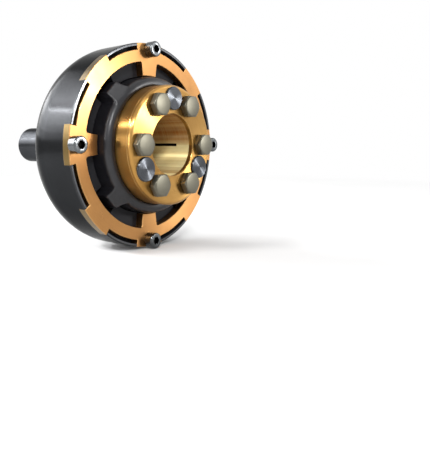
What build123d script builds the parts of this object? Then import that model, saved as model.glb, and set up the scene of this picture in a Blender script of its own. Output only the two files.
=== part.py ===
from build123d import *
import math
import os

os.makedirs("parts", exist_ok=True)

# Sizes are in mm. The coupling's axis is X, its front is +X, and X = 0 is the front face of the claw ring.

# Housing
housing_straight = 29.6
shoulder_r = 39.4
shoulder_deg = 50.0
heel_r = 12.0
rim_wall = 2.4
floor_x = -50.0
jaw_gap = 0.8
jaw_count = 4
pocket_half_deg = 10.4
pocket_undercut = 4.5
jaw_edge_round = 1.0
rim_edge = 0.4

# Claw ring
ring_thickness = 7.2
ring_room = 5.9
ring_band = 10.0
lug_count = 8
lug_half_deg = 10.2
lug_height = 5.5
tooth_half_deg = 7.6
tooth_gap = 1.2
tooth_root_round = 2.0
ring_edge = 0.35

# Socket screws of the claw ring
claw_screw_r = 4.0
claw_screw_out = 0.2
claw_screw_head_r = 6.5
claw_screw_head = 8.0
claw_screw_reach = 20.0
claw_socket_flats = 6.0
claw_socket_depth = 4.2
claw_screw_edge = 0.7

# Rear shaft
shaft_r = 17.5
shaft_end_x = -172.0
shaft_seat_r = 21.0
shaft_flange_r = 38.0
shaft_flange = 7.0
shaft_end_edge = 1.5

# Hub and clamp plate
bore_r = 25.0
bore_edge = 0.5
hub_back_x = -27.5
plate_back_x = 22.2
plate_front_x = 26.2
plate_front_round = 2.6
split_line_edge = 0.25
sleeve_wall = 2.0
sleeve_back_x = -26.0
slit_width = 2.35
slit_front_x = 8.4

# Hex bolts of the clamp plate
bolt_inset = 0.9
bolt_count = 6
bolt_r = 5.0
bolt_flats = 17.0
bolt_head = 6.4
bolt_crown_r = 8.1
bolt_crown_deg = 30.0
bolt_tip_x = -5.0

# Drive pins
pin_count = 3
pin_first_deg = 90.0
pin_r = 9.5
pin_inner_wall = 0.9
pin_outer_wall = 1.6
pin_front_x = 28.0
pin_edge = 0.6

# Rubber spider and the bush bonded in it
bush_wall = 2.15
bush_front_x = 1.8
bush_flange_front_x = -30.0
bush_back_x = -36.0
bush_opening_edge = 1.0
bead_tube_r = 5.75
bead_out = 2.35
bead_centre_x = 4.3
lobe_count = 4
lobe_first_deg = 45.0
lobe_height = 7.0
lobe_neck_share = 0.43
lobe_end_width = 14.0
lobe_neck_width = 15.4
lobe_root_sink = 0.4
lobe_root_width = 19.4
lobe_end_front_x = 1.6
lobe_edge_round = 1.1

# Clearances
running_gap = 0.05
lip_gap = 0.1
notch_gap = 0.15
bolt_hole_gap = 0.5
claw_hole_gap = 0.2

# Sizes that follow from the ones above, from the bore outwards
sleeve_outer_r = bore_r + sleeve_wall
pin_pitch_r = sleeve_outer_r + pin_inner_wall + pin_r
bolt_pitch_r = pin_pitch_r - bolt_inset
hub_r = pin_pitch_r + pin_r + pin_outer_wall
bush_opening_r = bore_r + bush_opening_edge
bush_inner_r = hub_r + running_gap
bush_outer_r = bush_inner_r + bush_wall
spider_inner_r = bush_outer_r + running_gap
bead_centre_r = hub_r + bead_out
spider_outer_r = bead_centre_r + bead_tube_r
lobe_root_r = spider_outer_r - lobe_root_sink
lobe_neck_r = spider_outer_r + lobe_neck_share * lobe_height
lobe_end_r = spider_outer_r + lobe_height
lobe_reach = math.hypot(lobe_end_r - bead_centre_r, lobe_end_front_x - bead_centre_x)
lobe_tangent = math.acos(bead_tube_r / lobe_reach)
lobe_tangent += math.atan2(lobe_end_front_x - bead_centre_x, lobe_end_r - bead_centre_r)
lobe_root_front_r = bead_centre_r + bead_tube_r * math.cos(lobe_tangent)
lobe_root_front_x = bead_centre_x + bead_tube_r * math.sin(lobe_tangent)
jaw_inner_r = spider_outer_r + jaw_gap
tooth_tip_r = spider_outer_r + tooth_gap
ring_inner_r = lobe_end_r + ring_room
ring_outer_r = ring_inner_r + ring_band
claw_screw_pitch_r = ring_outer_r + claw_screw_out
housing_r = ring_outer_r + lug_height
rim_inner_r = housing_r - rim_wall
pocket_r = ring_inner_r + pocket_undercut
shoulder_sine = math.sin(math.radians(shoulder_deg))
housing_back_x = -housing_straight - shoulder_r * shoulder_sine - heel_r * (1 - shoulder_sine)
reach = 2 * housing_r


def wedge(half_deg):
    half = math.radians(half_deg)
    along = reach * math.cos(half)
    across = reach * math.sin(half)
    return [(0, 0), (along, -across), (along, across)]


def off_axis(edge):
    middle = edge.center()
    return math.hypot(middle.Y, middle.Z)


def at_angle(radius, degrees):
    turn = math.radians(degrees)
    return Location((0, radius * math.cos(turn), radius * math.sin(turn)))


# Bell-shaped housing: smooth outside, four jaws and four pockets inside, eight notches in the rim
with BuildPart() as housing:
    with BuildSketch(Plane.XY) as housing_profile:
        with BuildLine():
            front = Line((0, 0), (0, housing_r))
            side = Line(front @ 1, (-housing_straight, housing_r))
            shoulder = JernArc(side @ 1, side % 1, shoulder_r, shoulder_deg)
            heel = JernArc(shoulder @ 1, shoulder % 1, heel_r, 90 - shoulder_deg)
            back = Line(heel @ 1, (housing_back_x, 0))
            Line(back @ 1, (0, 0))
        make_face()
    revolve(axis=Axis.X)
    chamfer(housing.edges().filter_by(GeomType.CIRCLE).sort_by(Axis.X)[-1], rim_edge)
    with BuildSketch(Plane.YZ.offset(floor_x)) as cavity:
        with PolarLocations(0, jaw_count, start_angle=lobe_first_deg):
            Polygon(*wedge(pocket_half_deg), align=None)
        Circle(pocket_r, mode=Mode.INTERSECT)
        Circle(jaw_inner_r)
    extrude(amount=-floor_x, mode=Mode.SUBTRACT)
    jaw_edges = [e for e in housing.edges().filter_by(Axis.X) if abs(off_axis(e) - jaw_inner_r) < jaw_edge_round]
    fillet(jaw_edges, jaw_edge_round)
    with BuildSketch(Plane.YZ.offset(-ring_thickness)) as ring_seat:
        Circle(rim_inner_r)
    extrude(amount=ring_thickness, mode=Mode.SUBTRACT)
    with BuildSketch(Plane.YZ.offset(-ring_thickness)) as notches:
        with PolarLocations(0, lug_count):
            Polygon(*wedge(lug_half_deg + math.degrees(notch_gap / housing_r)), align=None)
    extrude(amount=ring_thickness, mode=Mode.SUBTRACT)
    with BuildSketch(Plane.YZ.offset(-ring_thickness - claw_screw_reach)) as screw_holes:
        with PolarLocations(claw_screw_pitch_r, jaw_count):
            Circle(claw_screw_r)
    extrude(amount=claw_screw_reach, mode=Mode.SUBTRACT)
    with BuildSketch(Plane.YZ.offset(housing_back_x)) as shaft_hole:
        Circle(shaft_seat_r)
    extrude(amount=floor_x - housing_back_x, mode=Mode.SUBTRACT)
housing.part.label = "housing"
export_step(housing.part, "parts/housing.step")

# Claw ring: flat ring, eight lugs that fill the notches, four teeth that point at the spider
with BuildPart() as claw_ring:
    with BuildSketch(Plane.YZ.offset(-ring_thickness)) as ring_outline:
        with PolarLocations(0, lug_count):
            Polygon(*wedge(lug_half_deg), align=None)
        Circle(housing_r, mode=Mode.INTERSECT)
        Circle(ring_outer_r)
        Circle(ring_inner_r, mode=Mode.SUBTRACT)
    extrude(amount=ring_thickness)
    with BuildSketch(Plane.YZ.offset(-ring_thickness)) as teeth:
        with PolarLocations(0, jaw_count):
            Polygon(*wedge(tooth_half_deg), align=None)
        Circle((ring_inner_r + ring_outer_r) / 2, mode=Mode.INTERSECT)
        Circle(tooth_tip_r, mode=Mode.SUBTRACT)
    extrude(amount=ring_thickness)
    tooth_roots = [e for e in claw_ring.edges().filter_by(Axis.X) if abs(off_axis(e) - ring_inner_r) < ring_edge]
    fillet(tooth_roots, tooth_root_round)
    with BuildSketch(Plane.YZ.offset(-ring_thickness)) as claw_holes:
        with PolarLocations(claw_screw_pitch_r, jaw_count):
            Circle(claw_screw_r + claw_hole_gap)
    extrude(amount=ring_thickness, mode=Mode.SUBTRACT)
    chamfer(claw_ring.faces().sort_by(Axis.X)[-1].edges(), ring_edge)
claw_ring.part.label = "claw_ring"
export_step(claw_ring.part, "parts/claw_ring.step")

# Socket screw, one in each jaw
with BuildPart() as claw_screw:
    with BuildSketch(Plane.YZ) as claw_head:
        Circle(claw_screw_head_r)
    extrude(amount=claw_screw_head)
    chamfer(claw_screw.faces().sort_by(Axis.X)[-1].edges(), claw_screw_edge)
    with BuildSketch(Plane.YZ.offset(-ring_thickness - claw_screw_reach)) as claw_shank:
        Circle(claw_screw_r)
    extrude(amount=ring_thickness + claw_screw_reach)
    with BuildSketch(Plane.YZ.offset(claw_screw_head - claw_socket_depth)) as claw_socket:
        RegularPolygon(claw_socket_flats / 2, 6, major_radius=False)
    extrude(amount=claw_socket_depth, mode=Mode.SUBTRACT)
for number in range(jaw_count):
    screw = claw_screw.part.moved(at_angle(claw_screw_pitch_r, number * 360 / jaw_count))
    screw.label = f"claw_screw_{number + 1}"
    export_step(screw, f"parts/{screw.label}.step")

# Rear shaft: a flange inside the housing's floor, a seat in its hole and a plain round end out of its back
with BuildPart() as rear_shaft:
    with BuildSketch(Plane.YZ.offset(floor_x)) as shaft_flange_face:
        Circle(shaft_flange_r)
    extrude(amount=shaft_flange)
    with BuildSketch(Plane.YZ.offset(housing_back_x)) as shaft_seat:
        Circle(shaft_seat_r)
    extrude(amount=floor_x - housing_back_x)
    with BuildSketch(Plane.YZ.offset(shaft_end_x)) as shaft_section:
        Circle(shaft_r)
    extrude(amount=housing_back_x - shaft_end_x)
    chamfer(rear_shaft.faces().sort_by(Axis.X)[0].edges(), shaft_end_edge)
    chamfer(rear_shaft.faces().sort_by(Axis.X)[-1].edges(), shaft_end_edge)
rear_shaft.part.label = "rear_shaft"
export_step(rear_shaft.part, "parts/rear_shaft.step")

# One lobe of the spider, on the Y axis: its plan outline cut to a front that slopes down from the bead
with BuildPart() as lobe:
    with BuildSketch(Plane.YZ.offset(bush_back_x)) as lobe_plan:
        with BuildLine():
            end = Line((lobe_end_r, -lobe_end_width / 2), (lobe_end_r, lobe_end_width / 2))
            flank = Line(end @ 1, (lobe_neck_r, lobe_neck_width / 2))
            flare = TangentArc(flank @ 1, (lobe_root_r, lobe_root_width / 2), tangent=flank % 1)
            base = Line(flare @ 1, (bead_centre_r, lobe_root_width / 2))
            mirror(about=Plane.XZ)
            Line(base @ 1, (bead_centre_r, -lobe_root_width / 2))
        make_face()
    extrude(amount=bead_centre_x + bead_tube_r - bush_back_x)
    end_edges = [e for e in lobe.edges().filter_by(Axis.X) if off_axis(e) > lobe_end_r]
    fillet(end_edges, lobe_edge_round)
    with BuildSketch(Plane.XY) as lobe_side:
        with BuildLine():
            Polyline(
                (bush_back_x, bead_centre_r),
                (bush_back_x, reach),
                (lobe_end_front_x, reach),
                (lobe_end_front_x, lobe_end_r),
                (lobe_root_front_x, lobe_root_front_r),
                (lobe_root_front_x, bead_centre_r),
                close=True,
            )
        make_face()
    extrude(amount=lobe_root_width, both=True, mode=Mode.INTERSECT)
    fillet(lobe.faces().filter_by(GeomType.PLANE).sort_by(Axis.Y)[-1].edges().sort_by(Axis.X)[-1], lobe_edge_round)

# Rubber spider: a round bead against the hub, a wall round the bush and four lobes in the pockets
bead_front_x = bead_centre_x + bead_tube_r
lip_r = hub_r + lip_gap
lip_front_x = bead_centre_x + math.sqrt(bead_tube_r**2 - (bead_centre_r - lip_r) ** 2)
with BuildPart() as rubber_spider:
    with BuildSketch(Plane.XY) as spider_profile:
        with BuildLine():
            wall = Line((bush_back_x, spider_inner_r), (bush_back_x, spider_outer_r))
            outside = Line(wall @ 1, (bead_centre_x, spider_outer_r))
            bead = ThreePointArc(outside @ 1, (bead_front_x, bead_centre_r), (lip_front_x, lip_r))
            lip = Line(bead @ 1, (bush_front_x + lip_gap, lip_r))
            ledge = Line(lip @ 1, (bush_front_x + lip_gap, spider_inner_r))
            Line(ledge @ 1, wall @ 0)
        make_face()
    revolve(axis=Axis.X)
    for number in range(lobe_count):
        add(lobe.part, rotation=(lobe_first_deg + number * 360 / lobe_count, 0, 0))
    with BuildSketch(Plane.YZ.offset(bush_back_x)) as bush_seat:
        Circle(spider_inner_r)
    extrude(amount=bush_front_x + lip_gap - bush_back_x, mode=Mode.SUBTRACT)
rubber_spider.part.label = "rubber_spider"
export_step(rubber_spider.part, "parts/rubber_spider.step")

# Bush in the spider: a thin sleeve with a flange at its back that carries the drive pins
with BuildPart() as bush:
    with BuildSketch(Plane.YZ.offset(bush_back_x)) as bush_flange:
        Circle(bush_outer_r)
        Circle(bush_opening_r, mode=Mode.SUBTRACT)
        with PolarLocations(pin_pitch_r, pin_count, start_angle=pin_first_deg):
            Circle(pin_r, mode=Mode.SUBTRACT)
    extrude(amount=bush_flange_front_x - bush_back_x)
    with BuildSketch(Plane.YZ.offset(bush_flange_front_x)) as bush_sleeve:
        Circle(bush_outer_r)
        Circle(bush_inner_r, mode=Mode.SUBTRACT)
    extrude(amount=bush_front_x - bush_flange_front_x)
bush.part.label = "bush"
export_step(bush.part, "parts/bush.step")

# Drive pins, fixed in the bush and free to slide in the hub
with BuildPart() as drive_pin:
    with BuildSketch(Plane.YZ.offset(bush_back_x)) as pin_section:
        Circle(pin_r)
    extrude(amount=pin_front_x - bush_back_x)
    chamfer(drive_pin.faces().sort_by(Axis.X)[-1].edges(), pin_edge)
for number in range(pin_count):
    pin = drive_pin.part.moved(at_angle(pin_pitch_r, pin_first_deg + number * 360 / pin_count))
    pin.label = f"drive_pin_{number + 1}"
    export_step(pin, f"parts/{pin.label}.step")

# Hub barrel with the seat of the split sleeve, the pin bores and the bolt holes
with BuildPart() as hub:
    with BuildSketch(Plane.YZ.offset(hub_back_x)) as hub_section:
        Circle(hub_r)
        Circle(sleeve_outer_r, mode=Mode.SUBTRACT)
        with PolarLocations(pin_pitch_r, pin_count, start_angle=pin_first_deg):
            Circle(pin_r + running_gap, mode=Mode.SUBTRACT)
    extrude(amount=plate_back_x - hub_back_x)
    with BuildSketch(Plane.YZ.offset(bolt_tip_x)) as bolt_holes:
        with PolarLocations(bolt_pitch_r, bolt_count):
            Circle(bolt_r)
    extrude(amount=plate_back_x - bolt_tip_x, mode=Mode.SUBTRACT)
    hub_rims = [e for e in hub.edges().filter_by(GeomType.CIRCLE) if abs(e.radius - hub_r) < split_line_edge]
    chamfer(hub_rims, split_line_edge)
hub.part.label = "hub"
export_step(hub.part, "parts/hub.step")

# Clamp plate on the front of the hub
with BuildPart() as clamp_plate:
    with BuildSketch(Plane.YZ.offset(plate_back_x)) as plate_section:
        Circle(hub_r)
    extrude(amount=plate_front_x - plate_back_x)
    fillet(clamp_plate.faces().sort_by(Axis.X)[-1].edges(), plate_front_round)
    chamfer(clamp_plate.faces().sort_by(Axis.X)[0].edges(), split_line_edge)
    with BuildSketch(Plane.YZ.offset(plate_back_x)) as plate_bore:
        Circle(bore_r)
    extrude(amount=plate_front_x - plate_back_x, mode=Mode.SUBTRACT)
    chamfer(clamp_plate.edges().filter_by(GeomType.CIRCLE).sort_by(Axis.X)[-1], bore_edge)
    with BuildSketch(Plane.YZ.offset(plate_back_x)) as plate_holes:
        with PolarLocations(bolt_pitch_r, bolt_count):
            Circle(bolt_r + bolt_hole_gap)
        with PolarLocations(pin_pitch_r, pin_count, start_angle=pin_first_deg):
            Circle(pin_r + running_gap)
    extrude(amount=plate_front_x - plate_back_x, mode=Mode.SUBTRACT)
clamp_plate.part.label = "clamp_plate"
export_step(clamp_plate.part, "parts/clamp_plate.step")

# Hex bolts with a turned crown on the head, all standing the same way
crown_drop = (bolt_flats / math.sqrt(3) - bolt_crown_r) * math.tan(math.radians(bolt_crown_deg))
bolt_front_x = plate_front_x + bolt_head
with BuildPart() as hub_bolt:
    with BuildSketch(Plane.YZ.offset(plate_front_x)) as bolt_hex:
        RegularPolygon(bolt_flats / 2, 6, major_radius=False)
    extrude(amount=bolt_head)
    with BuildSketch(Plane.XY) as bolt_crown:
        with BuildLine():
            Polyline(
                (plate_front_x, 0),
                (plate_front_x, bolt_flats / math.sqrt(3)),
                (bolt_front_x - crown_drop, bolt_flats / math.sqrt(3)),
                (bolt_front_x, bolt_crown_r),
                (bolt_front_x, 0),
                close=True,
            )
        make_face()
    revolve(axis=Axis.X, mode=Mode.INTERSECT)
    with BuildSketch(Plane.YZ.offset(bolt_tip_x)) as bolt_shank:
        Circle(bolt_r)
    extrude(amount=plate_front_x - bolt_tip_x)
for number in range(bolt_count):
    bolt = hub_bolt.part.moved(at_angle(bolt_pitch_r, number * 360 / bolt_count))
    bolt.label = f"hub_bolt_{number + 1}"
    export_step(bolt, f"parts/{bolt.label}.step")

# Split sleeve that grips the front shaft, with one slit that stops short of its front end
with BuildPart() as split_sleeve:
    with BuildSketch(Plane.YZ.offset(sleeve_back_x)) as sleeve_section:
        Circle(sleeve_outer_r)
        Circle(bore_r, mode=Mode.SUBTRACT)
    extrude(amount=plate_back_x - sleeve_back_x)
    with BuildSketch(Plane.YZ.offset(sleeve_back_x)) as slit:
        with Locations((sleeve_outer_r, 0)):
            Rectangle(3 * sleeve_wall, slit_width)
    extrude(amount=slit_front_x - sleeve_back_x, mode=Mode.SUBTRACT)
split_sleeve.part.label = "split_sleeve"
export_step(split_sleeve.part, "parts/split_sleeve.step")
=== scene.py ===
import bpy
import math
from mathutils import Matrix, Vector


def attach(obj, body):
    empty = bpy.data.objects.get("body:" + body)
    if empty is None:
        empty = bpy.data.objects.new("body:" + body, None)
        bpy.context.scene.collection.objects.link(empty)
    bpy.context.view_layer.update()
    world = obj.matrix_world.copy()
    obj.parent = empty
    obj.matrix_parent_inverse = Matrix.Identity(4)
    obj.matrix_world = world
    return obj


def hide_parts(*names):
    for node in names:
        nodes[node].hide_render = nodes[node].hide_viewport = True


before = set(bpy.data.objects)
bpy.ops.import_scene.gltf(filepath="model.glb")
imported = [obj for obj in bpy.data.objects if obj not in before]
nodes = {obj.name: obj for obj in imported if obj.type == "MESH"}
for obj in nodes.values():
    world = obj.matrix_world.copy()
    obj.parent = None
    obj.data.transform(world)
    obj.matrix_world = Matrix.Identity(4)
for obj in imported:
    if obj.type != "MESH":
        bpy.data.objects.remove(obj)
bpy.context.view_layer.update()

scene = bpy.context.scene
MM = 0.001

# Sizes shared with the frame, in mm. The axis is X, the front is +X.
HUB_R = 48.5
BUSH_R = 50.7
BEAD_TUBE = 5.75
BEAD_R = 50.85
BEAD_X = 4.3
SPIDER_BACK = -36.0
LEDGE_X = 1.9
LOBE_END_R = 63.6
LOBE_END_HALF = 7.0
LOBE_END_X = 1.6
LOBE_ANGLES = (45, 135, 225, 315)
PLATE_X = 26.2
BOLT_PITCH = 36.5
BOLT_ANGLES = (0, 60, 120, 180, 240, 300)
BOLT_FLATS = 17.0
BOLT_HEAD = 6.4
BOLT_DOME = 0.5
PIN_PITCH = 37.4
PIN_ANGLES = (90, 210, 330)
SCREW_PITCH = 79.7
SCREW_ANGLES = (0, 90, 180, 270)
SCREW_HEAD_R = 6.5
SCREW_HEAD = 8.0
SOCKET_FLATS = 6.0
SOCKET_DEPTH = 4.2

# Masks for the finishes and for painted shade (the lugs' outer faces, the hub's seat, the slit's walls and
# the screw sockets): lowest and highest radius, back and front, in mm
LUG_SIDES_SHADE = (84.75, 90.0, -8.0, -0.45)
HUB_SEAT_SHADE = (0.0, 27.5, -80.0, 22.1)
SLEEVE_SLIT_SHADE = (25.2, 27.5, -80.0, 21.9)
SOCKET_HOLE_SHADE = (0.0, 3.7, -20.0, 7.6)
HOUSING_RIM = (82.7, 84.1, -0.9, 1.0)
HOUSING_POCKETS = (0.0, 77.5, -50.2, 1.0)
HOUSING_SLOT = (77.5, 82.8, -7.5, 1.0)

# Pattern scales, where a higher number is a finer pattern
CLOUDS = 24.0
MOTTLE = 70.0
LATHE_LINES = 900.0
DRAWN_STREAKS = 3.2
# Streaks of the painted shade over the sleeve's upper half
UPPER_SHADE_STREAKS = 5.0
PIN_LINES = 1500.0
PIN_MOTTLE = 500.0
HOUSING_CLOUDS = 30.0
HOUSING_SCUFFS = 190.0
HOUSING_SMEARS = 420.0
HOUSING_GRAIN = 700.0
RUBBER_CLOUDS = 60.0
RUBBER_SHEEN = 350.0
RUBBER_DUST = 900.0
RUBBER_GRAIN = 2200.0
FLOOR_CLOUDS = 9.0
FLOOR_GRAIN = 400.0

# Other measures of the finishes and of the painted shade, lengths in mm
# Heights where the painted shade over the sleeve's upper half begins and is full
UPPER_SHADE_FROM = -2.0
UPPER_SHADE_FULL = 5.0
WORN_EDGE = 0.3
HOUSING_WORN_EDGE = 0.5
GROOVE_SHADE = 0.78
GROOVE_ROUGH = 0.03
GROOVE_DEPTH = 0.003
# Painted shade: the near-black colour mixed by default over one area of a turned metal
PAINTED_SHADE = (0.010, 0.009, 0.008)


def around(radius, degrees):
    turn = math.radians(degrees)
    return Vector((0, radius * math.cos(turn), radius * math.sin(turn)))


# Materials

class Finish:
    """A principled material with short calls for its nodes."""

    def __init__(self, name):
        self.material = bpy.data.materials.new(name)
        self.material.use_nodes = True
        self.nodes = self.material.node_tree.nodes
        self.links = self.material.node_tree.links
        self.shader = self.nodes["Principled BSDF"]
        self.place = self.node("ShaderNodeTexCoord").outputs["Object"]

    def node(self, kind, **values):
        made = self.nodes.new(kind)
        for key, value in values.items():
            setattr(made, key, value)
        return made

    def link(self, start, end):
        self.links.new(start, end)

    def noise(self, scale, detail=3.0, roughness=0.55, place=None):
        made = self.node("ShaderNodeTexNoise")
        made.inputs["Scale"].default_value = scale
        made.inputs["Detail"].default_value = detail
        made.inputs["Roughness"].default_value = roughness
        self.link(place or self.place, made.inputs["Vector"])
        return made.outputs["Fac"]

    def spread(self, value, low, high, start=0.3, end=0.7):
        """Low where the value is at the start, high where it is at the end."""
        made = self.node("ShaderNodeMapRange")
        self.link(value, made.inputs["Value"])
        made.inputs["From Min"].default_value = start
        made.inputs["From Max"].default_value = end
        made.inputs["To Min"].default_value = low
        made.inputs["To Max"].default_value = high
        return made.outputs["Result"]

    def mix(self, amount, first, second):
        made = self.node("ShaderNodeMix", data_type="RGBA")
        self.link(amount, made.inputs[0])
        for socket, colour in ((6, first), (7, second)):
            if isinstance(colour, tuple):
                made.inputs[socket].default_value = (*colour, 1)
            else:
                self.link(colour, made.inputs[socket])
        return made.outputs[2]

    def math(self, operation, first, second):
        made = self.node("ShaderNodeMath", operation=operation)
        for socket, value in enumerate((first, second)):
            if isinstance(value, float):
                made.inputs[socket].default_value = value
            else:
                self.link(value, made.inputs[socket])
        return made.outputs[0]

    def vector(self, operation, first, second=None):
        made = self.node("ShaderNodeVectorMath", operation=operation)
        for socket, value in enumerate((first, second)):
            if value is None:
                continue
            if isinstance(value, tuple):
                made.inputs[socket].default_value = value
            else:
                self.link(value, made.inputs[socket])
        return made.outputs["Value"] if operation in ("LENGTH", "DOT_PRODUCT") else made.outputs["Vector"]

    def coordinate(self, letter):
        split = self.node("ShaderNodeSeparateXYZ")
        self.link(self.place, split.inputs[0])
        return split.outputs[letter]

    def from_axis(self, centre=(0, 0, 0)):
        """The place seen from a centre line along X, with X taken out."""
        moved = self.vector("SUBTRACT", self.place, tuple(c * MM for c in centre))
        return self.vector("MULTIPLY", moved, (0.0, 1.0, 1.0))

    def turned(self, grain, centre=(0, 0, 0)):
        """Grain that runs round a centre line along X, as a lathe leaves it, so light spreads across it."""
        ring = self.vector("CROSS_PRODUCT", (1.0, 0.0, 0.0), self.from_axis(centre))
        self.link(self.vector("NORMALIZE", ring), self.shader.inputs["Tangent"])
        self.set(Anisotropic=grain, Anisotropic_Rotation=0.25)

    def grooves(self, scale, centre=(0, 0, 0)):
        """Uneven fine rings round the centre line and along the axis."""
        radius = self.vector("LENGTH", self.from_axis(centre))
        joined = self.node("ShaderNodeCombineXYZ")
        self.link(radius, joined.inputs["X"])
        self.link(self.coordinate("X"), joined.inputs["Y"])
        return self.noise(scale, detail=4.0, roughness=0.7, place=joined.outputs[0])

    def streaks(self, scale):
        """Uneven fine lines that run along the axis."""
        direction = self.vector("NORMALIZE", self.from_axis())
        return self.noise(scale, roughness=0.6, place=direction)

    def within(self, mask, centre=(0, 0, 0)):
        """One between two radii and two places on the axis, in mm."""
        low, high, back, front = mask
        radius = self.vector("LENGTH", self.from_axis(centre))
        along = self.coordinate("X")
        outside = self.math("GREATER_THAN", radius, low * MM)
        inside = self.math("LESS_THAN", radius, high * MM)
        ahead = self.math("GREATER_THAN", along, back * MM)
        behind = self.math("LESS_THAN", along, front * MM)
        ring = self.math("MULTIPLY", outside, inside)
        slab = self.math("MULTIPLY", ahead, behind)
        return self.math("MULTIPLY", ring, slab)

    def above(self, low, high):
        """Nought under one height and one over another, in mm."""
        return self.spread(self.coordinate("Z"), 0.0, 1.0, start=low * MM, end=high * MM)

    def edges(self, radius):
        """One on worn edges, nought on the flats."""
        soft = self.node("ShaderNodeBevel", samples=4)
        soft.inputs["Radius"].default_value = radius * MM
        sharp = self.node("ShaderNodeNewGeometry").outputs["Normal"]
        close = self.vector("DOT_PRODUCT", soft.outputs[0], sharp)
        return self.spread(close, 1.0, 0.0, start=0.90, end=0.995)

    def bump(self, height, strength, distance):
        made = self.node("ShaderNodeBump")
        made.inputs["Strength"].default_value = strength
        made.inputs["Distance"].default_value = distance * MM
        self.link(height, made.inputs["Height"])
        self.link(made.outputs[0], self.shader.inputs["Normal"])

    def set(self, **values):
        for key, value in values.items():
            socket = self.shader.inputs[key.replace("_", " ")]
            if isinstance(value, tuple):
                socket.default_value = (*value, 1)
            elif isinstance(value, float):
                socket.default_value = value
            else:
                self.link(value, socket)


def turned_metal(name, light, dark, smooth, rough, grain=0.0, metal=1.0, centre=(0, 0, 0), wear=None,
                 painted_shade_area=None, painted_shade_colour=PAINTED_SHADE, drawn=None, upper_shade=None, gloss=None):
    """Metal off the lathe in two tones, with worn edges and painted shade over one area. Drawn is the
    colour of streaks along the axis, a further colour paints dark shade over the upper half, and gloss
    tints the reflections."""
    made = Finish(name)
    colour = made.mix(made.spread(made.noise(CLOUDS, detail=4.0), 0.0, 1.0), dark, light)
    if drawn:
        streaks = made.spread(made.streaks(DRAWN_STREAKS), 0.0, 0.75, start=0.46, end=0.68)
        colour = made.mix(streaks, colour, drawn)
    # Painted shade: the upper half is mixed towards a dark brown, in streaks
    if upper_shade:
        streaks = made.spread(made.streaks(UPPER_SHADE_STREAKS), 0.7, 1.0)
        brown = made.math("MULTIPLY", made.above(UPPER_SHADE_FROM, UPPER_SHADE_FULL), streaks)
        colour = made.mix(brown, colour, upper_shade)
    lines = made.grooves(LATHE_LINES, centre)
    shade = tuple(c * GROOVE_SHADE for c in dark)
    colour = made.mix(made.spread(lines, 0.0, 0.25, start=0.45, end=0.75), colour, shade)
    if wear:
        colour = made.mix(made.edges(WORN_EDGE), colour, wear)
    # Painted shade: one area, a recess or the lugs' outer faces, is mixed towards a darker colour
    if painted_shade_area:
        colour = made.mix(made.within(painted_shade_area, centre), colour, painted_shade_colour)
    mottle = made.spread(made.noise(MOTTLE, detail=2.0), smooth, rough)
    roughness = made.math("ADD", mottle, made.math("MULTIPLY", lines, GROOVE_ROUGH))
    made.set(Base_Color=colour, Metallic=metal, Roughness=roughness)
    if gloss:
        made.set(Specular_Tint=gloss)
    if grain:
        made.turned(grain, centre)
    made.bump(lines, strength=0.12, distance=GROOVE_DEPTH)
    return made.material


def ring_brass():
    return turned_metal(
        "ring_brass",
        light=(0.40, 0.202, 0.070),
        dark=(0.33, 0.160, 0.055),
        smooth=0.26,
        rough=0.30,
        grain=0.75,
        wear=(0.56, 0.35, 0.15),
        # Painted shade: the lugs' outer faces in a darker colour
        painted_shade_area=LUG_SIDES_SHADE,
        painted_shade_colour=(0.128, 0.083, 0.027),
    )


def hub_brass():
    return turned_metal(
        "hub_brass",
        light=(0.44, 0.255, 0.080),
        dark=(0.305, 0.155, 0.037),
        smooth=0.26,
        rough=0.30,
        grain=0.92,
        wear=(0.58, 0.38, 0.16),
        # Painted shade: near-black on the hub's seat, seen through the sleeve's slit
        painted_shade_area=HUB_SEAT_SHADE,
    )


def sleeve_brass():
    return turned_metal(
        "sleeve_brass",
        light=(0.96, 0.90, 0.54),
        dark=(0.92, 0.78, 0.38),
        smooth=0.46,
        rough=0.52,
        grain=0.96,
        metal=0.5,
        # Painted shade: near-black on the walls of the slit
        painted_shade_area=SLEEVE_SLIT_SHADE,
        drawn=(0.46, 0.24, 0.05),
        # Painted shade: dark brown over the upper half of the bore
        upper_shade=(0.27, 0.082, 0.006),
        gloss=(1.0, 0.72, 0.32),
    )


def shaft_steel():
    return turned_metal(
        "shaft_steel",
        light=(0.050, 0.052, 0.056),
        dark=(0.034, 0.035, 0.038),
        smooth=0.26,
        rough=0.30,
        grain=0.8,
        wear=(0.14, 0.145, 0.15),
        gloss=(0.45, 0.45, 0.45),
    )


def bolt_steel():
    return turned_metal(
        "bolt_steel",
        light=(0.118, 0.110, 0.082),
        dark=(0.090, 0.084, 0.063),
        smooth=0.34,
        rough=0.40,
        metal=0.8,
        wear=(0.20, 0.188, 0.15),
    )


def bush_steel():
    return turned_metal(
        "bush_steel",
        light=(0.20, 0.21, 0.22),
        dark=(0.13, 0.135, 0.14),
        smooth=0.34,
        rough=0.42,
        grain=0.5,
    )


def screw_chrome(centre):
    return turned_metal(
        "screw_chrome",
        light=(0.115, 0.122, 0.125),
        dark=(0.070, 0.074, 0.077),
        smooth=0.22,
        rough=0.28,
        centre=centre,
        wear=(0.17, 0.178, 0.182),
        # Painted shade: near-black inside the socket
        painted_shade_area=SOCKET_HOLE_SHADE,
    )


def pin_steel(centre):
    """The drive pins' faces, turned so finely that each shows a streak across it."""
    dark = (0.036, 0.039, 0.046)
    light = (0.112, 0.118, 0.127)
    made = Finish("pin_steel")
    lines = made.grooves(PIN_LINES, centre)
    colour = made.mix(made.spread(lines, 0.0, 1.0), dark, light)
    mottle = made.spread(made.noise(PIN_MOTTLE, detail=4.0), 0.26, 0.31)
    roughness = made.math("ADD", mottle, made.math("MULTIPLY", lines, GROOVE_ROUGH))
    made.set(Base_Color=colour, Metallic=1.0, Roughness=roughness)
    made.turned(0.95, centre)
    made.bump(lines, strength=0.05, distance=GROOVE_DEPTH)
    return made.material


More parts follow.
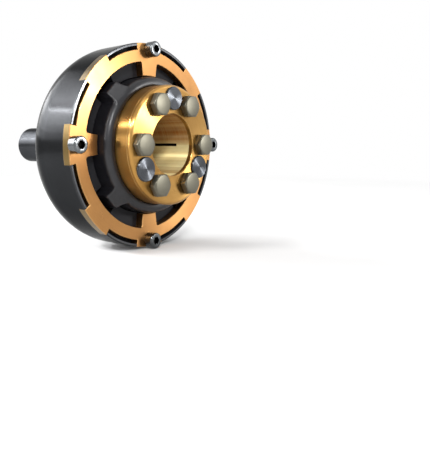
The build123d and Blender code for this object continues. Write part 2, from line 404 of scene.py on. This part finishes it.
def black_housing():
    """Gloss black plated steel outside, dull black where the jaws, pockets and slot are milled."""
    plated = (0.0210, 0.0217, 0.0230)
    clouded = (0.0255, 0.0264, 0.0280)
    rubbed = (0.11, 0.115, 0.12)
    rim = (0.10, 0.103, 0.108)
    pocket = (0.021, 0.0212, 0.0235)
    deep = (0.010, 0.0105, 0.013)
    milled_rough = 0.6
    made = Finish("black_housing")
    colour = made.mix(made.spread(made.noise(HOUSING_CLOUDS, detail=4.0), 0.0, 1.0), plated, clouded)
    scuffs = made.spread(made.noise(HOUSING_SCUFFS, detail=5.0), 0.4, 1.0)
    worn = made.math("MULTIPLY", made.edges(HOUSING_WORN_EDGE), scuffs)
    colour = made.mix(worn, colour, rubbed)
    colour = made.mix(made.within(HOUSING_RIM), colour, rim)
    pockets = made.within(HOUSING_POCKETS)
    slot = made.within(HOUSING_SLOT)
    colour = made.mix(pockets, colour, pocket)
    colour = made.mix(slot, colour, deep)
    milled = made.math("MAXIMUM", pockets, slot)
    smears = made.spread(made.noise(HOUSING_SMEARS, detail=5.0), 0.17, 0.23)
    roughness = made.node("ShaderNodeMix", data_type="FLOAT")
    made.link(milled, roughness.inputs[0])
    made.link(smears, roughness.inputs[2])
    roughness.inputs[3].default_value = milled_rough
    made.set(Base_Color=colour, Metallic=made.math("SUBTRACT", 1.0, milled), Roughness=roughness.outputs[0])
    made.set(IOR=1.2, Specular_Tint=(0.5, 0.5, 0.5))
    made.turned(0.6)
    relief = made.math("ADD", made.noise(HOUSING_GRAIN), made.grooves(LATHE_LINES))
    made.bump(relief, strength=0.04, distance=0.006)
    return made.material


def black_rubber():
    """Moulded rubber with a fine grain and a little dust in it."""
    dark = (0.005, 0.005, 0.0065)
    light = (0.009, 0.009, 0.0115)
    dusty = (0.024, 0.024, 0.027)
    made = Finish("black_rubber")
    colour = made.mix(made.spread(made.noise(RUBBER_CLOUDS, detail=5.0), 0.0, 1.0), dark, light)
    specks = made.noise(RUBBER_DUST, detail=6.0, roughness=0.75)
    colour = made.mix(made.spread(specks, 0.0, 0.4, start=0.52, end=0.75), colour, dusty)
    roughness = made.spread(made.noise(RUBBER_SHEEN, detail=5.0), 0.30, 0.40)
    made.set(Base_Color=colour, Roughness=roughness, IOR=1.5, Specular_IOR_Level=0.4)
    made.bump(made.noise(RUBBER_GRAIN, detail=5.0, roughness=0.7), strength=0.2, distance=0.03)
    return made.material


def dress(piece, material):
    piece.data.materials.clear()
    piece.data.materials.append(material)


polished_brass = hub_brass()
dress(nodes["housing"], black_housing())
dress(nodes["rear_shaft"], shaft_steel())
dress(nodes["claw_ring"], ring_brass())
dress(nodes["bush"], bush_steel())
dress(nodes["hub"], polished_brass)
dress(nodes["clamp_plate"], polished_brass)
dress(nodes["split_sleeve"], sleeve_brass())
for number, degrees in enumerate(PIN_ANGLES, 1):
    dress(nodes[f"drive_pin_{number}"], pin_steel(around(PIN_PITCH, degrees)))


# Modelling calls

NEAR = 0.01
FACING = 0.9
HEX = 6


def deselect():
    if bpy.context.object and bpy.context.object.mode != "OBJECT":
        bpy.ops.object.mode_set(mode="OBJECT")
    bpy.ops.object.select_all(action="DESELECT")


def take(piece):
    deselect()
    piece.select_set(True)
    bpy.context.view_layer.objects.active = piece


def disc_tube(name, sides, radius, back, front, ends="NGON"):
    """A cylinder along X between two places, in mm."""
    deselect()
    bpy.ops.mesh.primitive_cylinder_add(
        vertices=sides,
        radius=radius * MM,
        depth=(front - back) * MM,
        end_fill_type=ends,
        location=((front + back) / 2 * MM, 0, 0),
        rotation=(0, math.pi / 2, 0),
    )
    piece = bpy.context.object
    piece.name = name
    piece.data.name = name
    bpy.ops.object.transform_apply(location=True, rotation=True, scale=True)
    return piece


def pick(piece, kind, test):
    """Selects vertices, edges or faces by a test of their place, in mm, and leaves edit mode on."""
    bpy.ops.object.mode_set(mode="EDIT")
    bpy.ops.mesh.select_mode(type=kind)
    bpy.ops.mesh.select_all(action="DESELECT")
    bpy.ops.object.mode_set(mode="OBJECT")
    mesh = piece.data
    if kind == "VERT":
        for vertex in mesh.vertices:
            vertex.select = test(vertex.co / MM)
    elif kind == "EDGE":
        for edge in mesh.edges:
            start, end = (mesh.vertices[i].co / MM for i in edge.vertices)
            edge.select = test(start, end)
    else:
        for face in mesh.polygons:
            face.select = test(face.normal)
    bpy.ops.object.mode_set(mode="EDIT")


def modify(piece, kind, **values):
    take(piece)
    made = piece.modifiers.new(kind.title(), kind)
    for key, value in values.items():
        setattr(made, key, value)
    bpy.ops.object.modifier_apply(modifier=made.name)


def break_edges(piece, width, sharp):
    """Rounds every edge sharper than an angle in degrees, by a width in mm."""
    angle = math.radians(sharp)
    modify(piece, "BEVEL", width=width * MM, segments=2, limit_method="ANGLE", angle_limit=angle)


def cut(piece, operation, tool):
    """Cuts a piece with a tool, which is used up."""
    modify(piece, "BOOLEAN", operation=operation, object=tool, solver="EXACT")
    bpy.data.objects.remove(tool)


def clean(piece):
    """Melts doubled points and drops faces without area."""
    take(piece)
    pick(piece, "VERT", lambda place: True)
    bpy.ops.mesh.remove_doubles(threshold=NEAR * MM)
    bpy.ops.mesh.dissolve_degenerate(threshold=NEAR * MM)
    bpy.ops.object.mode_set(mode="OBJECT")


def smooth(piece, degrees):
    take(piece)
    bpy.ops.object.shade_smooth_by_angle(angle=math.radians(degrees))


def join(base, others):
    """Joins other pieces to the base."""
    take(base)
    for piece in others:
        piece.select_set(True)
    bpy.ops.object.join()


def copy_of(first, name, place=(0, 0, 0), turn=0):
    """A copy with a mesh of its own, which takes in its place in metres and its turn round X in degrees."""
    piece = first.copy()
    piece.data = first.data.copy()
    piece.name = name
    scene.collection.objects.link(piece)
    take(piece)
    piece.location = place
    piece.rotation_euler = (math.radians(turn), 0, 0)
    bpy.ops.object.transform_apply(location=True, rotation=True, scale=False)
    return piece


def finish_piece(piece, material, body, replaced):
    dress(piece, material)
    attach(piece, body)
    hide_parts(replaced)


# Rubber spider: the ring and its four lobes are shaped apart, then melted into one moulding

SPIDER_SIDES = 128
WALL_START = -20.0
WALL_MIDDLE = -5.0
BEAD_STEP = 12
BEAD_TURN = 108
LIP_REACH = 6.0
LIP_ROOM = 0.15
BUSH_ROOM = 0.1
BUSH_MIDDLE = -17.0
WELD = 0.001
VOXEL = 0.75

# Steps of a lobe from the bead outwards: distance from the axis, half the width, and front
LOBE_STEPS = (
    (52.0, 9.6, 8.5),
    (54.4, 9.6, 8.82),
    (56.4, 9.4, 7.25),
    (57.6, 8.45, 6.31),
    (59.4, 7.9, 4.9),
    (LOBE_END_R, LOBE_END_HALF, LOBE_END_X),
)


def bead_loops():
    """Place on the axis and radius of each loop: the wall, the bead, the lip and the inner wall."""
    outer = BEAD_R + BEAD_TUBE
    lip = HUB_R + LIP_ROOM
    inner = BUSH_R + BUSH_ROOM
    loops = [(WALL_MIDDLE, outer), (BEAD_X, outer)]
    for degrees in range(BEAD_STEP, BEAD_TURN + 1, BEAD_STEP):
        turn = math.radians(degrees)
        loops.append((BEAD_X + BEAD_TUBE * math.sin(turn), BEAD_R + BEAD_TUBE * math.cos(turn)))
    loops += [(BEAD_X + LIP_REACH, lip), (LEDGE_X, lip)]
    loops += [(LEDGE_X, inner), (BUSH_MIDDLE, inner), (SPIDER_BACK, inner)]
    return loops


def at_back(place):
    return abs(place.x - SPIDER_BACK) < NEAR


def bead_ring():
    """The ring of the spider, extruded loop by loop and closed at the back."""
    last_x, last_r = WALL_START, BEAD_R + BEAD_TUBE
    piece = disc_tube("rubber_spider_moulding", SPIDER_SIDES, last_r, SPIDER_BACK, WALL_START, "NOTHING")
    pick(piece, "VERT", lambda place: place.x > WALL_START - NEAR)
    bpy.ops.mesh.select_mode(type="EDGE")
    for x, radius in bead_loops():
        bpy.ops.mesh.extrude_edges_move()
        grow = radius / last_r
        bpy.ops.transform.resize(value=(1, grow, grow), center_override=(0, 0, 0))
        bpy.ops.transform.translate(value=((x - last_x) * MM, 0, 0))
        last_x, last_r = x, radius
    pick(piece, "EDGE", lambda start, end: at_back(start) and at_back(end))
    bpy.ops.mesh.bridge_edge_loops()
    bpy.ops.mesh.select_all(action="SELECT")
    bpy.ops.mesh.remove_doubles(threshold=WELD * MM)
    bpy.ops.mesh.normals_make_consistent(inside=False)
    bpy.ops.object.mode_set(mode="OBJECT")
    return piece


def spider_lobe():
    """One lobe along Y: a block pushed outwards step by step, its front sloping down from the bead."""
    deselect()
    bpy.ops.mesh.primitive_cube_add(size=1, location=(0, 0, 0))
    piece = bpy.context.object
    first, second = LOBE_STEPS[:2]
    for vertex in piece.data.vertices:
        out, half, front = second if vertex.co.y > 0 else first
        x = front if vertex.co.x > 0 else SPIDER_BACK
        vertex.co = Vector((x, out, math.copysign(half, vertex.co.z))) * MM
    pick(piece, "FACE", lambda normal: normal.y > FACING)
    last_out, last_half, last_front = second
    for out, half, front in LOBE_STEPS[2:]:
        bpy.ops.mesh.extrude_region_move()
        bpy.ops.transform.translate(value=(0, (out - last_out) * MM, 0))
        deep = (front - SPIDER_BACK) / (last_front - SPIDER_BACK)
        centre = (SPIDER_BACK * MM, out * MM, 0)
        bpy.ops.transform.resize(value=(deep, 1, half / last_half), center_override=centre)
        last_out, last_half, last_front = out, half, front
    bpy.ops.object.mode_set(mode="OBJECT")
    return piece


def rubber_spider():
    ring = bead_ring()
    lobe = spider_lobe()
    join(ring, [copy_of(lobe, "spider_lobe", turn=degrees) for degrees in LOBE_ANGLES])
    bpy.data.objects.remove(lobe)
    modify(ring, "REMESH", mode="VOXEL", voxel_size=VOXEL * MM, use_smooth_shade=True)
    modify(ring, "SMOOTH", factor=0.5, iterations=10)
    finish_piece(ring, black_rubber(), "spider", "rubber_spider")


rubber_spider()


# Hex bolts: a washer face, a six-sided head and a turned crown, every edge broken

WASHER_R = 8.1
WASHER_THICK = 0.45
CROWN_SIDES = 72
CROWN_R = 8.05
CROWN_RINGS = (CROWN_R, 6.9, 5.6, 4.2, 2.8, 1.4)
CROWN_SLOPE = 30
CROWN_SPARE = 0.4
HEAD_SPARE = 0.5


def bolt_crown(corner_r, front):
    """A disc with a domed front and a sloping edge, which trims the head's corners."""
    outer = corner_r + CROWN_SPARE
    crown = disc_tube("bolt_crown", CROWN_SIDES, outer, PLATE_X, front)
    pick(crown, "FACE", lambda normal: normal.x > FACING)
    for radius in CROWN_RINGS:
        bpy.ops.mesh.inset(thickness=(outer - radius) * MM)
        outer = radius
    bpy.ops.object.mode_set(mode="OBJECT")
    for vertex in crown.data.vertices:
        if vertex.co.x > (front - NEAR) * MM:
            out = math.hypot(vertex.co.y, vertex.co.z) / MM
            dome = BOLT_DOME * min(out / CROWN_R, 1) ** 2
            slope = max(out - CROWN_R, 0) * math.tan(math.radians(CROWN_SLOPE))
            vertex.co.x -= (dome + slope) * MM
    return crown


def hex_bolt():
    corner_r = BOLT_FLATS / math.sqrt(3)
    front = PLATE_X + BOLT_HEAD
    washer_x = PLATE_X + WASHER_THICK
    head = disc_tube("hex_bolt", HEX, corner_r, washer_x, front + HEAD_SPARE)
    cut(head, "INTERSECT", bolt_crown(corner_r, front))
    clean(head)
    break_edges(head, width=0.22, sharp=17)
    clean(head)
    washer = disc_tube("bolt_washer_face", CROWN_SIDES, WASHER_R, PLATE_X, washer_x)
    join(head, [washer])
    smooth(head, degrees=24)
    return head


def hex_bolts():
    first = hex_bolt()
    steel = bolt_steel()
    for number, degrees in enumerate(BOLT_ANGLES, 1):
        bolt = copy_of(first, f"hex_bolt_{number}", around(BOLT_PITCH * MM, degrees))
        finish_piece(bolt, steel, "hub_side", f"hub_bolt_{number}")
    bpy.data.objects.remove(first)


hex_bolts()


# Socket screws: a plain round head, a sloping top edge and a six-sided socket with a drilled floor

SCREW_SIDES = 96
SCREW_FOOT = 0.8
SCREW_BARREL = 5.4
SCREW_EDGE = 0.9
SOCKET_SPARE = 1.0
DRILL_SIDES = 48
DRILL_ROOM = 0.3
DRILL_DEPTH = 0.7
DRILL_TIP = 0.35


def socket_screw():
    head = disc_tube("socket_screw", SCREW_SIDES, SCREW_HEAD_R, 0, SCREW_FOOT)
    pick(head, "FACE", lambda normal: normal.x > FACING)
    narrow = (SCREW_HEAD_R - SCREW_EDGE) / SCREW_HEAD_R
    for step, shrink in ((SCREW_BARREL, 1), (SCREW_EDGE, 1), (SCREW_EDGE, narrow)):
        bpy.ops.mesh.extrude_region_move()
        bpy.ops.transform.translate(value=(step * MM, 0, 0))
        bpy.ops.transform.resize(value=(1, shrink, shrink), center_override=(SCREW_HEAD * MM, 0, 0))
    bpy.ops.object.mode_set(mode="OBJECT")
    floor_x = SCREW_HEAD - SOCKET_DEPTH
    socket_r = SOCKET_FLATS / math.sqrt(3)
    socket = disc_tube("screw_socket", HEX, socket_r, floor_x, SCREW_HEAD + SOCKET_SPARE)
    drill_r = SOCKET_FLATS / 2 - DRILL_ROOM
    drill = disc_tube("socket_floor", DRILL_SIDES, drill_r, floor_x - DRILL_DEPTH, floor_x + DRILL_ROOM)
    pick(drill, "FACE", lambda normal: normal.x < -FACING)
    bpy.ops.transform.resize(value=(1, DRILL_TIP, DRILL_TIP))
    bpy.ops.object.mode_set(mode="OBJECT")
    cut(head, "DIFFERENCE", socket)
    cut(head, "DIFFERENCE", drill)
    break_edges(head, width=0.12, sharp=40)
    smooth(head, degrees=30)
    return head


def socket_screws():
    first = socket_screw()
    for number, degrees in enumerate(SCREW_ANGLES, 1):
        screw = copy_of(first, f"socket_screw_{number}", around(SCREW_PITCH * MM, degrees))
        chrome = screw_chrome(around(SCREW_PITCH, degrees))
        finish_piece(screw, chrome, "housing_side", f"claw_screw_{number}")
    bpy.data.objects.remove(first)


socket_screws()


# Floor, world, lamps and camera, in metres

FLOOR_SIZE = 14
FLOOR_Z = -0.0866
SHADOW_END = 0.35
WHITE_START = 1.1
SOFT_SKY = 0.28
WHITE_SKY = 1.0
EYE = (0.3016, -0.3208, 0)


def seen_directly(tree):
    """One for rays from the camera, off metal or through glass."""
    path = tree.nodes.new("ShaderNodeLightPath")
    seen = path.outputs["Is Camera Ray"]
    for other in ("Is Glossy Ray", "Is Transmission Ray"):
        larger = tree.nodes.new("ShaderNodeMath")
        larger.operation = "MAXIMUM"
        tree.links.new(seen, larger.inputs[0])
        tree.links.new(path.outputs[other], larger.inputs[1])
        seen = larger.outputs[0]
    return seen


def pale_floor():
    """Pale floor that keeps the shadow near the part and runs into the white background further off."""
    darker = (0.78, 0.78, 0.78)
    paler = (0.81, 0.81, 0.81)
    made = Finish("pale_floor")
    colour = made.mix(made.spread(made.noise(FLOOR_CLOUDS), 0.0, 1.0), darker, paler)
    made.set(Base_Color=colour, Roughness=0.9, Specular_IOR_Level=0.0)
    made.bump(made.noise(FLOOR_GRAIN), strength=0.05, distance=0.2)
    white = made.node("ShaderNodeEmission")
    blend = made.node("ShaderNodeMixShader")
    far = made.spread(made.vector("LENGTH", made.place), 0.0, 1.0, start=SHADOW_END, end=WHITE_START)
    made.link(made.math("MULTIPLY", far, seen_directly(made.material.node_tree)), blend.inputs[0])
    made.link(made.shader.outputs[0], blend.inputs[1])
    made.link(white.outputs[0], blend.inputs[2])
    made.link(blend.outputs[0], made.nodes["Material Output"].inputs["Surface"])
    return made.material


def studio_floor():
    deselect()
    bpy.ops.mesh.primitive_plane_add(size=FLOOR_SIZE, location=(0, 0, FLOOR_Z))
    floor = bpy.context.object
    floor.name = "floor"
    dress(floor, pale_floor())


def studio_sky():
    """A soft sky that lights the part and is white where it is seen."""
    world = bpy.data.worlds.new("studio")
    scene.world = world
    world.use_nodes = True
    tree = world.node_tree
    strength = tree.nodes.new("ShaderNodeMapRange")
    strength.inputs["To Min"].default_value = SOFT_SKY
    strength.inputs["To Max"].default_value = WHITE_SKY
    tree.links.new(seen_directly(tree), strength.inputs["Value"])
    tree.links.new(strength.outputs[0], tree.nodes["Background"].inputs["Strength"])
    tree.nodes["Background"].inputs["Color"].default_value = (1, 1, 1, 1)


def towards(azimuth, height):
    """The direction at degrees round from +X and degrees up."""
    turn, lift = math.radians(azimuth), math.radians(height)
    return Vector((math.cos(turn) * math.cos(lift), math.sin(turn) * math.cos(lift), math.sin(lift)))


def aim(thing, place):
    """Puts a lamp or the camera at a place and turns it towards the origin."""
    thing.location = place
    thing.rotation_euler = (-thing.location).to_track_quat("-Z", "Y").to_euler()


def softbox(name, azimuth, height, away, width, tall, level):
    """A lamp aimed at the part. Its level is the brightness of its face."""
    lamp = bpy.data.lights.new(name, "AREA")
    lamp.shape = "RECTANGLE"
    lamp.size = width
    lamp.size_y = tall
    lamp.energy = math.pi * level * width * tall
    made = bpy.data.objects.new(name, lamp)
    scene.collection.objects.link(made)
    aim(made, towards(azimuth, height) * away)


studio_floor()
studio_sky()
softbox("top", azimuth=60, height=75, away=1.6, width=0.8, tall=0.8, level=0.4)
softbox("top_front", azimuth=-15, height=60, away=1.6, width=0.3, tall=0.3, level=8)
softbox("key_band", azimuth=-163, height=20, away=1.6, width=1.25, tall=0.3, level=15)
softbox("key_low", azimuth=-163, height=12, away=1.6, width=1.3, tall=0.15, level=10)
softbox("key_foot", azimuth=-163, height=6.6, away=1.6, width=1.3, tall=0.15, level=5)
softbox("key_edge", azimuth=-178, height=20, away=1.7, width=0.5, tall=0.28, level=9)
softbox("key_upper", azimuth=-165, height=30.2, away=1.6, width=1.0, tall=0.18, level=14)
softbox("key_high", azimuth=-165, height=37, away=1.6, width=1.0, tall=0.18, level=9)
softbox("strip_back_left", azimuth=-142, height=24, away=1.4, width=0.6, tall=0.016, level=120)
softbox("strip_left", azimuth=-108, height=31.5, away=1.4, width=0.3, tall=0.045, level=275)
softbox("side_left", azimuth=-105, height=26, away=1.6, width=0.6, tall=1.0, level=1.6)
softbox("side_low", azimuth=-102, height=6, away=1.4, width=0.1, tall=0.42, level=56)
softbox("face_streak", azimuth=37, height=8.5, away=3.0, width=0.3, tall=0.3, level=125)
softbox("face_low", azimuth=32, height=2.5, away=3.0, width=0.3, tall=0.24, level=30)
softbox("face_soft", azimuth=60, height=24, away=1.6, width=0.9, tall=0.7, level=1.9)
softbox("front_fill", azimuth=-44, height=31, away=1.4, width=0.3, tall=0.09, level=142)

camera = bpy.data.cameras.new("photo_camera")
camera.lens = 41.01
camera.sensor_width = 36
camera.shift_x = 0.1423
camera.shift_y = -0.1853
camera.clip_start = 0.01
camera.clip_end = 50
eye = bpy.data.objects.new("photo_camera", camera)
scene.collection.objects.link(eye)
aim(eye, EYE)
scene.camera = eye
scene.view_settings.view_transform = "Standard"
